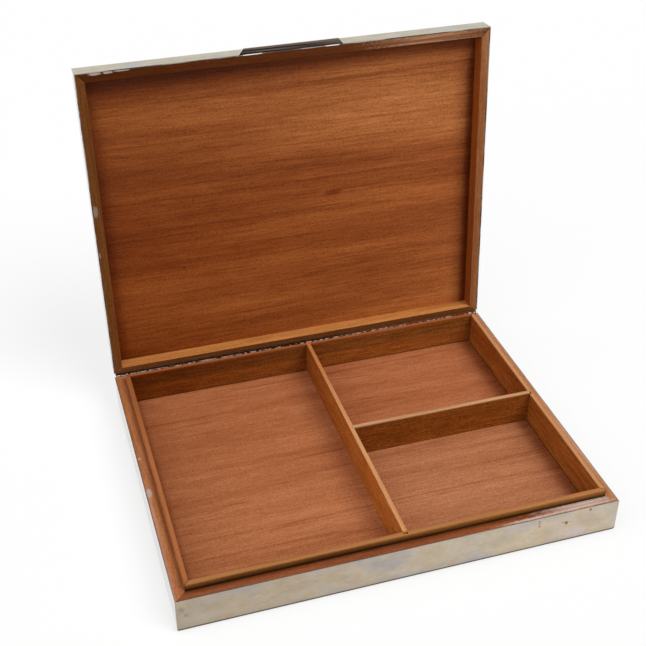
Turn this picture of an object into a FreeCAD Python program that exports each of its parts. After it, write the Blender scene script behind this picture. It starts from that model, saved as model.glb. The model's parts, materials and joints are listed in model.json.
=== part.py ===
import FreeCAD, Part
import os
import Sketcher

# Silver-clad wooden box with a hinged lid and a divided interior, standing with its lid open.
# Frame: origin at the centre of the underside, +X along the hinge, +Y to the hinged back, +Z up.
# Every piece is drawn where it sits in the closed box. The lid's pieces are then swung open on the hinge.

# Driving dimensions, in millimetres and degrees
DRIVING_SIZES = {
    # outside of the box
    "box_width": 280.0,
    "box_depth": 220.4,
    "base_height": 25.7,
    "lid_height": 14.2,
    "rim_gap": 0.25,
    "silver_gauge": 0.6,
    "base_edge_radius": 3.5,
    "lid_edge_radius": 2.0,
    # wooden rims, silver edge included
    "rim_width": 6.5,
    "left_rim_width": 7.2,
    "lid_rim_width": 6.2,
    "lid_back_rim_width": 4.8,
    "lid_panel_gauge": 3.2,
    # inside of the base
    "board_gauge": 4.5,
    "floor_gauge": 3.5,
    "floor_play": 0.2,
    "lining_gauge": 2.8,
    "lining_top": 31.0,
    "lining_round": 0.8,
    # dividers and the housings that they stand in
    "divider_gauge": 2.9,
    "divider_top": 32.0,
    "divider_round": 0.4,
    "long_divider_x": 1.25,
    "cross_divider_y": 0.3,
    "long_housing": 2.0,
    "cross_housing": 1.5,
    "divider_notch": 0.8,
    "side_play": 0.1,
    "tight_end": 0.1,
    "loose_end": 1.5,
    # thumb piece on the front edge of the lid
    "thumb_length": 70.4,
    "thumb_taper": 3.3,
    "thumb_reach": 4.0,
    "thumb_gauge": 1.6,
    "thumb_bevel": 0.8,
    # hinge, with its axis behind the back face and above the base rim
    "axis_back": 0.9,
    "axis_rise": 0.4,
    "hinge_length": 278.0,
    "knuckle_count": 65,
    "knuckle_gap": 0.25,
    "knuckle_radius": 1.4,
    "knuckle_clearance": 0.3,
    "pin_radius": 0.6,
    "pin_play": 0.05,
    "web_half_width": 0.9,
    "web_near": 1.05,
    "web_far": 3.0,
    "bearer_reach": 2.0,
    "bearer_side": 4.5,
    "bearer_height": 6.0,
    "stop_slack": 1.0,
    "open_angle": 94.4,
}

doc = FreeCAD.newDocument("silver_clad_box")
sizes = doc.addObject("Spreadsheet::Sheet", "sizes")
for row, (alias, number) in enumerate(DRIVING_SIZES.items(), start=1):
    sizes.set(f"A{row}", alias)
    sizes.set(f"B{row}", str(number))
    sizes.setAlias(f"B{row}", alias)
doc.recompute()

# Levels and lines worked out from the driving dimensions, as expressions
BASE_RIM = "sizes.base_height"
LID_RIM = "(sizes.base_height + sizes.rim_gap)"
LID_TOP = f"({LID_RIM} + sizes.lid_height)"
LID_PANEL_TOP = f"({LID_TOP} - sizes.silver_gauge)"
LID_PANEL_BOTTOM = f"({LID_PANEL_TOP} - sizes.lid_panel_gauge)"
FLOOR_TOP = "(sizes.board_gauge + sizes.floor_gauge)"
LEFT_FACE = "(-sizes.box_width / 2)"
RIGHT_FACE = "(sizes.box_width / 2)"
FRONT_FACE = "(-sizes.box_depth / 2)"
BACK_FACE = "(sizes.box_depth / 2)"
AXIS_Y = f"({BACK_FACE} + sizes.axis_back)"
AXIS_Z = f"({BASE_RIM} + sizes.axis_rise)"
CHANNEL_RADIUS = "(sizes.knuckle_radius + sizes.knuckle_clearance)"
BORE_RADIUS = "(sizes.pin_radius + sizes.pin_play)"
KNUCKLE_PITCH = "((sizes.hinge_length + sizes.knuckle_gap) / sizes.knuckle_count)"
KNUCKLE_LENGTH = f"({KNUCKLE_PITCH} - sizes.knuckle_gap)"
HINGE_START = "(-sizes.hinge_length / 2)"
STOP_ANGLE = "((sizes.open_angle + sizes.stop_slack) / 2)"
HINGE_AXIS = f"vector(0; {AXIS_Y}; {AXIS_Z})"
LID_SWING = f"placement(vector(0; 0; 0); rotation(vector(1; 0; 0); -sizes.open_angle); {HINGE_AXIS})"

SIDES = ("front", "right", "back", "left")

subparts = []


def value(expression):
    """Number that an expression on the sheet stands for."""
    return float(sizes.evalExpression(expression))


def new_body(label, on_lid=False, kept=True):
    """Empty body; a kept one is a piece of the box, and a lid piece is swung open."""
    body = doc.addObject("PartDesign::Body", label)
    if on_lid:
        body.setExpression("Placement", LID_SWING)
    if kept:
        subparts.append(body)
    return body


def new_sketch(body, name, plane, lift):
    """Empty sketch on one of the body's own origin planes, lifted along the plane's normal."""
    sketch = body.newObject("Sketcher::SketchObject", name)
    support = [feature for feature in body.Origin.OriginFeatures if feature.Role == plane]
    sketch.AttachmentSupport = [(support[0], "")]
    sketch.MapMode = "FlatFace"
    sketch.setExpression("AttachmentOffset.Base.z", lift)
    return sketch


def bind(sketch, constraint, expression):
    """Add a constraint whose size follows the sheet."""
    index = sketch.addConstraint(constraint)
    sketch.setExpression(f"Constraints[{index}]", expression)


def polygon_sketch(body, name, plane, lift, corners):
    """Closed outline of straight lines; each corner is a pair of expressions."""
    sketch = new_sketch(body, name, plane, lift)
    points = [FreeCAD.Vector(value(across), value(along), 0) for across, along in corners]
    count = len(points)
    for index in range(count):
        sketch.addGeometry(Part.LineSegment(points[index], points[(index + 1) % count]))
    for index in range(count):
        sketch.addConstraint(Sketcher.Constraint("Coincident", index, 2, (index + 1) % count, 1))
    for index, (across, along) in enumerate(corners):
        bind(sketch, Sketcher.Constraint("DistanceX", -1, 1, index, 1, points[index].x), across)
        bind(sketch, Sketcher.Constraint("DistanceY", -1, 1, index, 1, points[index].y), along)
    return sketch


def hinge_circle(body, name, lift, radius):
    """Circle round the hinge axis, square to it."""
    sketch = new_sketch(body, name, "YZ_Plane", lift)
    centre = FreeCAD.Vector(value(AXIS_Y), value(AXIS_Z), 0)
    sketch.addGeometry(Part.Circle(centre, FreeCAD.Vector(0, 0, 1), value(radius)))
    bind(sketch, Sketcher.Constraint("DistanceX", -1, 1, 0, 3, centre.x), AXIS_Y)
    bind(sketch, Sketcher.Constraint("DistanceY", -1, 1, 0, 3, centre.y), AXIS_Z)
    bind(sketch, Sketcher.Constraint("Radius", 0, value(radius)), radius)
    return sketch


def pad(body, sketch, length, both_ways=False):
    """Raise a sketch to a solid."""
    feature = body.newObject("PartDesign::Pad", f"{sketch.Name}_pad")
    feature.Profile = sketch
    feature.setExpression("Length", length)
    if both_ways:
        feature.SideType = "Symmetric"
    doc.recompute()
    return feature


def pocket(body, sketch, depth, both_ways=False):
    """Cut a sketch out of the body, and make sure that it took something away."""
    before = body.Shape.Volume
    feature = body.newObject("PartDesign::Pocket", f"{sketch.Name}_pocket")
    feature.Profile = sketch
    feature.setExpression("Length", depth)
    if both_ways:
        feature.SideType = "Symmetric"
    doc.recompute()
    if body.Shape.Volume >= before:
        raise RuntimeError(f"{feature.Label} cuts nothing")
    return feature


def edge_at(feature, place):
    """Name of the edge whose middle lies at a place given as three expressions."""
    target = FreeCAD.Vector(*[value(coordinate) for coordinate in place])
    edges = feature.Shape.Edges
    nearest = min(range(len(edges)), key=lambda index: edges[index].CenterOfMass.distanceToPoint(target))
    return f"Edge{nearest + 1}"


def dress_edges(body, kind, size_name, size, places):
    """Fillet or chamfer the edges whose middles lie at the given places."""
    base = body.Tip
    feature = body.newObject(f"PartDesign::{kind}", f"{body.Name}_{kind.lower()}")
    feature.Base = (base, [edge_at(base, place) for place in places])
    feature.setExpression(size_name, size)
    doc.recompute()
    return feature


def round_edges(body, radius, places):
    return dress_edges(body, "Fillet", "Radius", radius, places)


def inset(left, right, front, back):
    """Rectangle inside the outline of the box: its left, right, front and back lines."""
    return (
        f"({LEFT_FACE} + ({left}))",
        f"({RIGHT_FACE} - ({right}))",
        f"({FRONT_FACE} + ({front}))",
        f"({BACK_FACE} - ({back}))",
    )


def even_inset(distance):
    return inset(distance, distance, distance, distance)


def inside_rim(distance):
    """Rectangle inside the rim of the base, which is wider on the left."""
    rim = f"sizes.rim_width + {distance}"
    return inset(f"sizes.left_rim_width + {distance}", rim, rim, rim)


def rectangle(ring):
    left, right, front, back = ring
    return [(left, front), (right, front), (right, back), (left, back)]


def mitred_side(side, *rings):
    """Plan of one side of a mitred frame; its ends pass the corners of the rectangles, outermost first."""
    start = SIDES.index(side)
    end = (start + 1) % len(SIDES)
    corners = [rectangle(ring) for ring in rings]
    near_end = [ring[start] for ring in corners]
    far_end = [ring[end] for ring in corners]
    return near_end[:1] + far_end + near_end[:0:-1]


def middle_of_side(side, ring, level):
    """Middle of one side of a rectangle, at a level."""
    left, right, front, back = ring
    middle_across = f"(({left} + {right}) / 2)"
    middle_along = f"(({front} + {back}) / 2)"
    places = {
        "front": (middle_across, front, level),
        "right": (right, middle_along, level),
        "back": (middle_across, back, level),
        "left": (left, middle_along, level),
    }
    return places[side]


def block(label, corners, bottom, height, on_lid=False, kept=True):
    """Upright piece with a straight-sided plan."""
    body = new_body(label, on_lid, kept)
    outline = polygon_sketch(body, f"{label}_plan", "XY_Plane", bottom, corners)
    pad(body, outline, height)
    return body


def cut_hinge_channel(body):
    """Round channel that lets the knuckles turn, along the whole back edge."""
    circle = hinge_circle(body, f"{body.Name}_channel", "0", CHANNEL_RADIUS)
    pocket(body, circle, "sizes.box_width * 2", both_ways=True)


def cut_housing(body, name, top, corners):
    """Slot for the end of a divider, cut from the top edge down through the piece."""
    slot = polygon_sketch(body, name, "XY_Plane", top, corners)
    pocket(body, slot, top)


def span(low_x, high_x, low_y, high_y):
    return [(low_x, low_y), (high_x, low_y), (high_x, high_y), (low_x, high_y)]


OUTSIDE = even_inset("0")
WOOD_OUTSIDE = even_inset("sizes.silver_gauge")
BASE_OPENING = inside_rim("0")
LINED_OPENING = inside_rim("sizes.lining_gauge")
LID_SIDE = "sizes.lid_rim_width"
LID_OPENING = inset(LID_SIDE, LID_SIDE, LID_SIDE, "sizes.lid_back_rim_width")


def make_base_sides():
    """Wooden rails, and the silver strips that go round their outer faces and lower edges."""
    for side in SIDES:
        rail = block(
            f"base_{side}_rail",
            mitred_side(side, WOOD_OUTSIDE, BASE_OPENING),
            "sizes.silver_gauge",
            f"{BASE_RIM} - sizes.silver_gauge",
        )
        lower_edge = middle_of_side(side, WOOD_OUTSIDE, "sizes.silver_gauge")
        round_edges(rail, "sizes.base_edge_radius - sizes.silver_gauge", [lower_edge])
        clad = block(
            f"base_{side}_clad_outline",
            mitred_side(side, OUTSIDE, WOOD_OUTSIDE, BASE_OPENING),
            "0",
            BASE_RIM,
            kept=False,
        )
        round_edges(clad, "sizes.base_edge_radius", [middle_of_side(side, OUTSIDE, "0")])
        if side == "back":
            cut_hinge_channel(rail)
            cut_hinge_channel(clad)
        silver = doc.addObject("Part::Cut", f"base_{side}_silver")
        silver.Base = clad
        silver.Tool = rail
        doc.recompute()
        subparts.append(silver)


def make_base_floor():
    """Board that closes the frame from below, and the floor that lies on it."""
    block("bottom_board", rectangle(BASE_OPENING), "0", "sizes.board_gauge")
    floor_outline = inside_rim("sizes.lining_gauge + sizes.floor_play")
    block("floor_panel", rectangle(floor_outline), "sizes.board_gauge", "sizes.floor_gauge")


LONG_LEFT = "(sizes.long_divider_x - sizes.divider_gauge / 2)"
LONG_RIGHT = "(sizes.long_divider_x + sizes.divider_gauge / 2)"
CROSS_FRONT = "(sizes.cross_divider_y - sizes.divider_gauge / 2)"
CROSS_BACK = "(sizes.cross_divider_y + sizes.divider_gauge / 2)"


def make_linings():
    """Thin mitred lining that stands above the rim, with housings for the dividers."""
    left, right, front, back = LINED_OPENING
    long_slot = (f"{LONG_LEFT} - sizes.side_play", f"{LONG_RIGHT} + sizes.side_play")
    cross_slot = (f"{CROSS_FRONT} - sizes.side_play", f"{CROSS_BACK} + sizes.side_play")
    housings = {
        "front": span(*long_slot, f"{front} - sizes.long_housing", front),
        "back": span(*long_slot, back, f"{back} + sizes.long_housing"),
        "right": span(right, f"{right} + sizes.cross_housing", *cross_slot),
    }
    for side in SIDES:
        lining = block(
            f"{side}_lining",
            mitred_side(side, BASE_OPENING, LINED_OPENING),
            "sizes.board_gauge",
            "sizes.lining_top - sizes.board_gauge",
        )
        outer_edge = middle_of_side(side, BASE_OPENING, "sizes.lining_top")
        round_edges(lining, "sizes.lining_round", [outer_edge])
        if side in housings:
            cut_housing(lining, f"{side}_housing", "sizes.lining_top", housings[side])


def make_dividers():
    """Long divider from front to back, and the cross divider housed in its right face."""
    left, right, front, back = LINED_OPENING
    height = f"sizes.divider_top - {FLOOR_TOP}"

    long_front = f"({front} - sizes.long_housing + sizes.loose_end)"
    long_back = f"({back} + sizes.long_housing - sizes.tight_end)"
    long_plan = span(LONG_LEFT, LONG_RIGHT, long_front, long_back)
    long_divider = block("long_divider", long_plan, FLOOR_TOP, height)
    long_middle = f"(({long_front} + {long_back}) / 2)"
    long_edges = [(face, long_middle, "sizes.divider_top") for face in (LONG_LEFT, LONG_RIGHT)]
    round_edges(long_divider, "sizes.divider_round", long_edges)
    notch_face = f"({LONG_RIGHT} - sizes.divider_notch)"
    notch = span(
        notch_face,
        LONG_RIGHT,
        f"{CROSS_FRONT} - sizes.side_play",
        f"{CROSS_BACK} + sizes.side_play",
    )
    cut_housing(long_divider, "cross_divider_notch", "sizes.divider_top", notch)

    cross_left = f"({notch_face} + sizes.tight_end)"
    cross_right = f"({right} + sizes.cross_housing - sizes.loose_end + sizes.tight_end)"
    cross_plan = span(cross_left, cross_right, CROSS_FRONT, CROSS_BACK)
    cross_divider = block("cross_divider", cross_plan, FLOOR_TOP, height)
    cross_middle = f"(({cross_left} + {cross_right}) / 2)"
    cross_edges = [(cross_middle, face, "sizes.divider_top") for face in (CROSS_FRONT, CROSS_BACK)]
    round_edges(cross_divider, "sizes.divider_round", cross_edges)


def make_lid_cover():
    """Silver pan over the top and the sides of the lid."""
    cover = block("lid_silver_cover", rectangle(OUTSIDE), LID_RIM, "sizes.lid_height", on_lid=True)
    round_edges(cover, "sizes.lid_edge_radius", [middle_of_side(side, OUTSIDE, LID_TOP) for side in SIDES])
    solid = cover.Tip
    rim_level = value(LID_RIM)
    open_faces = [
        f"Face{index}"
        for index, face in enumerate(solid.Shape.Faces, start=1)
        if abs(face.CenterOfMass.z - rim_level) < value("sizes.silver_gauge")
    ]
    shell = cover.newObject("PartDesign::Thickness", "lid_silver_cover_shell")
    shell.Base = (solid, open_faces)
    shell.Reversed = True
    shell.Join = "Arc"
    shell.setExpression("Value", "sizes.silver_gauge")
    doc.recompute()
    cut_hinge_channel(cover)


def make_lid_wood():
    """Panel under the silver, and the mitred frame that hangs from it."""
    panel = block(
        "lid_panel",
        rectangle(WOOD_OUTSIDE),
        LID_PANEL_BOTTOM,
        "sizes.lid_panel_gauge",
        on_lid=True,
    )
    upper_edges = [middle_of_side(side, WOOD_OUTSIDE, LID_PANEL_TOP) for side in SIDES]
    round_edges(panel, "sizes.lid_edge_radius - sizes.silver_gauge", upper_edges)
    for side in SIDES:
        rail = block(
            f"lid_{side}_rail",
            mitred_side(side, WOOD_OUTSIDE, LID_OPENING),
            LID_RIM,
            f"{LID_PANEL_BOTTOM} - {LID_RIM}",
            on_lid=True,
        )
        if side == "back":
            cut_hinge_channel(rail)


def make_thumb_piece():
    """Bevelled lip in the middle of the lid's front edge."""
    half_length = "(sizes.thumb_length / 2)"
    half_tip = f"({half_length} - sizes.thumb_taper)"
    tip = f"({FRONT_FACE} - sizes.thumb_reach)"
    plan = [
        (f"-{half_length}", FRONT_FACE),
        (f"-{half_tip}", tip),
        (half_tip, tip),
        (half_length, FRONT_FACE),
    ]
    thumb = block("thumb_piece", plan, LID_RIM, "sizes.thumb_gauge", on_lid=True)
    upper_tip = ("0", tip, f"{LID_RIM} + sizes.thumb_gauge")
    dress_edges(thumb, "Chamfer", "Size", "sizes.thumb_bevel", [upper_tip])


def make_hinge_strip(label, away, first_knuckle, knuckles, on_lid):
    """One half of the hinge: a bearer along the back face, with a row of knuckles on webs.

    The bevelled end of the bearer meets the other strip's when the lid is open, and so stops the lid.
    """
    body = new_body(label, on_lid)
    bearer = [
        (BACK_FACE, AXIS_Z),
        (AXIS_Y, AXIS_Z),
        (f"{AXIS_Y} + sizes.bearer_reach", f"{AXIS_Z} {away} sizes.bearer_reach * tan({STOP_ANGLE})"),
        (f"{AXIS_Y} + sizes.bearer_reach", f"{AXIS_Z} {away} sizes.bearer_side"),
        (BACK_FACE, f"{AXIS_Z} {away} sizes.bearer_height"),
    ]
    profile = polygon_sketch(body, f"{label}_bearer", "YZ_Plane", "0", bearer)
    pad(body, profile, "sizes.hinge_length", both_ways=True)
    cut_hinge_channel(body)

    start = f"{HINGE_START} + {first_knuckle} * {KNUCKLE_PITCH}"
    near = f"{AXIS_Z} {away} sizes.web_near"
    far = f"{AXIS_Z} {away} sizes.web_far"
    web_outline = span(BACK_FACE, f"{AXIS_Y} + sizes.web_half_width", near, far)
    web = pad(body, polygon_sketch(body, f"{label}_web", "YZ_Plane", start, web_outline), KNUCKLE_LENGTH)
    barrel_circle = hinge_circle(body, f"{label}_barrel", start, "sizes.knuckle_radius")
    barrel = pad(body, barrel_circle, KNUCKLE_LENGTH)

    row = body.newObject("PartDesign::LinearPattern", f"{label}_row")
    row.Originals = [web, barrel]
    row.Direction = (barrel_circle, ["N_Axis"])
    row.Mode = "Spacing"
    row.setExpression("Offset", f"2 * {KNUCKLE_PITCH}")
    row.setExpression("Occurrences", knuckles)
    body.Tip = row
    doc.recompute()

    bore = hinge_circle(body, f"{label}_bore", "0", BORE_RADIUS)
    pocket(body, bore, "sizes.hinge_length * 2", both_ways=True)


def make_hinge():
    """Base strip with the odd knuckle at each end, lid strip between, and the wire through both."""
    make_hinge_strip("hinge_base_strip", "-", "0", "(sizes.knuckle_count + 1) / 2", on_lid=False)
    make_hinge_strip("hinge_lid_strip", "+", "1", "(sizes.knuckle_count - 1) / 2", on_lid=True)
    pin = doc.addObject("Part::Cylinder", "hinge_pin")
    pin.setExpression("Radius", "sizes.pin_radius")
    pin.setExpression("Height", "sizes.hinge_length")
    pin_start = f"vector({HINGE_START}; {AXIS_Y}; {AXIS_Z})"
    pin.setExpression("Placement", f"placement({pin_start}; rotation(vector(0; 1; 0); 90))")
    doc.recompute()
    subparts.append(pin)


def check_document():
    """Stop before anything is written if an object failed or a piece isn't one sound solid."""
    for item in doc.Objects:
        if "Invalid" in item.State or "Error" in item.State:
            raise RuntimeError(f"{item.Label} failed: {item.State}")
    for piece in subparts:
        if piece.Shape.isNull() or not piece.Shape.isValid() or len(piece.Shape.Solids) != 1:
            raise RuntimeError(f"{piece.Label} isn't one valid solid")


def write_pieces():
    os.makedirs("parts", exist_ok=True)
    for piece in subparts:
        piece.Shape.exportStep(os.path.join("parts", f"{piece.Label}.step"))
        print(f"{piece.Label}: {piece.Shape.Volume / 1000:.2f} cubic centimetres")


make_base_sides()
make_base_floor()
make_linings()
make_dividers()
make_lid_cover()
make_lid_wood()
make_thumb_piece()
make_hinge()
doc.recompute()
check_document()
write_pieces()
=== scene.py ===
import json
import math
from collections import namedtuple

import bpy
from mathutils import Matrix, Vector


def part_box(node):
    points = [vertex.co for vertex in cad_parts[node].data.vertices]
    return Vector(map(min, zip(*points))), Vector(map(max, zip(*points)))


# Looks of the silver-clad wooden box: finishes for every piece, eased edges, camera and soft studio light

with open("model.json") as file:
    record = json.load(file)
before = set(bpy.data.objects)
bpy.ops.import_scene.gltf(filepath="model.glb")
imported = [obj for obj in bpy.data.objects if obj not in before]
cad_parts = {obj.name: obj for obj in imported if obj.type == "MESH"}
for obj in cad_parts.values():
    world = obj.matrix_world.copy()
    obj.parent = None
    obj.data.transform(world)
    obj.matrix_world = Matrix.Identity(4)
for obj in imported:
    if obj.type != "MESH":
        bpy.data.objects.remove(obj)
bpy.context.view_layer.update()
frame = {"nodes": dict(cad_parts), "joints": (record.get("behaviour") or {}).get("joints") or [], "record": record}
nodes = frame["nodes"]

MM = 0.001
UP = (0.0, 0.0, 1.0)
DOWN = (0.0, 0.0, -1.0)
OUTWARD = {"front": (0.0, -1.0, 0.0), "left": (-1.0, 0.0, 0.0)}

# The lid stands open in the frame. Turned back about the hinge, its pieces are where the closed box has them
HINGE = frame["joints"][0]
LID_NODES = frame["record"]["behaviour"]["bodies"]["lid"]
LID_ANGLE = math.radians(HINGE["range_deg"][1])
LID_TURN = (LID_ANGLE, 0.0, 0.0)
LID_SHIFT = Vector(HINGE["pos_m"]) - Matrix.Rotation(LID_ANGLE, 3, "X") @ Vector(HINGE["pos_m"])

Outline = namedtuple("Outline", "left right front back")


def outline_of(*pieces):
    """Outline, seen from above, that takes in some pieces of the base."""
    corners = [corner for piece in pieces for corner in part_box(piece)]
    across = [corner.x for corner in corners]
    along = [corner.y for corner in corners]
    return Outline(min(across), max(across), min(along), max(along))


# Levels and outlines of the closed box, in metres
BASE_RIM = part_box("base_front_rail")[1].z
FLOOR_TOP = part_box("floor_panel")[1].z
LINING_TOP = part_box("front_lining")[1].z
BOX_OUTLINE = outline_of("base_left_silver", "base_right_silver")
FRAME_OUTLINE = outline_of("base_front_rail", "base_back_rail")
LINING_OUTLINE = outline_of("left_lining", "right_lining")
FLOOR_OUTLINE = outline_of("floor_panel")

# The lid's rails lie on the frame of the base, and its panel shows between them
LID_RAIL = 5.6 * MM
LID_BACK_RAIL = 4.2 * MM
PANEL_OUTLINE = Outline(
    FRAME_OUTLINE.left + LID_RAIL,
    FRAME_OUTLINE.right - LID_RAIL,
    FRAME_OUTLINE.front + LID_RAIL,
    FRAME_OUTLINE.back - LID_BACK_RAIL,
)

# Photograph's camera, solved from the straight edges of the box
CAMERA_PLACE = (-0.19145, -0.56164, 0.52092)
CAMERA_TURN_DEG = (55.680, 0.074, -17.168)
CAMERA_LENS_MM = 64.254
CAMERA_SENSOR_MM = 36.0

# Studio light: a broad lamp high on the right, a softer one on the left, and an even white room.
# The ceiling starts at a height of the view, where 0 is level and 1 is straight up
KEY_DIRECTION = (0.62, -0.80, 1.20)
KEY_STRENGTH = 1.75
KEY_SPREAD_DEG = 35.0
FILL_DIRECTION = (-0.90, -0.35, 1.10)
FILL_STRENGTH = 1.20
FILL_SPREAD_DEG = 70.0
ROOM_LIGHT = 0.26
ROOM_WALLS = 1.0
ROOM_CEILING = 0.55
CEILING_START = 0.34
FLOOR_COLOUR = 0.92
FLOOR_SIZE = 30.0
FLOOR_GLOW = 0.70
FLOOR_SHADE = 0.33

# How far the edges of the pieces are eased, from which angle between two faces and in how many steps.
# Points of a mesh that are nearer than the last value are joined first
WOOD_EDGE = 0.25 * MM
SILVER_EDGE = 0.12 * MM
EASED_SILVER = ("base_front_silver", "base_back_silver", "thumb_piece")
EASED_ANGLE_DEG = 40
EASED_STEPS = 2
JOINED_POINTS = 0.002 * MM

# Sockets of the Mix node when it mixes colours; it has others of the same names, so these go by number
MIX_FACTOR = 0
MIX_FIRST = 6
MIX_SECOND = 7
MIX_RESULT = 2

# Ragged edges of chips, stains and other marks: a coarse and a fine noise, with their cells to the metre,
# and the sum of noise and distance at which a mark ends
COARSE_CELLS = 500.0
COARSE_WEIGHT = 0.9
FINE_CELLS = 1900.0
FINE_WEIGHT = 0.7
MARK_EDGE = 1.55

# How softly the marks fade at their edges
SOFTNESS = {"chip": 0.25, "sheen": 0.50, "knot": 0.40, "patch": 0.80, "stain": 0.15, "glint": 0.15}


def display(red, green, blue):
    """Colour written as display values from 0 to 255, turned into the shader's linear values."""
    def channel(level):
        level = level / 255
        return level / 12.92 if level <= 0.04045 else ((level + 0.055) / 1.055) ** 2.4
    return (channel(red), channel(green), channel(blue), 1.0)


def tint(factor):
    """Colour factor from one number, or from one each for red, green and blue."""
    red, green, blue = factor if isinstance(factor, tuple) else (factor, factor, factor)
    return (red, green, blue, 1.0)


class NodeTree:
    """Short calls that add shader nodes to a tree and link them."""

    def __init__(self, tree):
        self.tree = tree

    def node(self, kind, inputs=None, **settings):
        """Add a node, with its settings and with values or links for its inputs."""
        node = self.tree.nodes.new("ShaderNode" + kind)
        for name, setting in settings.items():
            setattr(node, name, setting)
        for name, entry in (inputs or {}).items():
            self.feed(node.inputs[name], entry)
        return node

    def feed(self, socket, entry):
        """Link a socket to another one, or set it to a value."""
        if isinstance(entry, bpy.types.NodeSocket):
            self.tree.links.new(entry, socket)
        else:
            socket.default_value = entry

    def math(self, operation, first, second=0.0):
        return self.node("Math", {0: first, 1: second}, operation=operation).outputs[0]

    def weigh(self, *terms):
        """Sum of sockets, each given with its weight."""
        total = None
        for socket, weight in terms:
            part = self.math("MULTIPLY", socket, weight)
            total = part if total is None else self.math("ADD", total, part)
        return total

    def any_of(self, *masks):
        """The largest of several sockets."""
        total = masks[0]
        for mask in masks[1:]:
            total = self.math("MAXIMUM", total, mask)
        return total

    def ramp(self, entry, low, high, to_low=0.0, to_high=1.0):
        """Smooth passage from to_low to to_high, as the entry goes from low to high."""
        inputs = {"Value": entry, "From Min": low, "From Max": high, "To Min": to_low, "To Max": to_high}
        return self.node("MapRange", inputs, interpolation_type="SMOOTHSTEP").outputs[0]

    def seen(self):
        """Mask that is 1 for what the camera sees, also in metal or through glass, and 0 for what lights."""
        path = self.node("LightPath").outputs
        return self.any_of(path["Is Camera Ray"], path["Is Glossy Ray"], path["Is Transmission Ray"])


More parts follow.
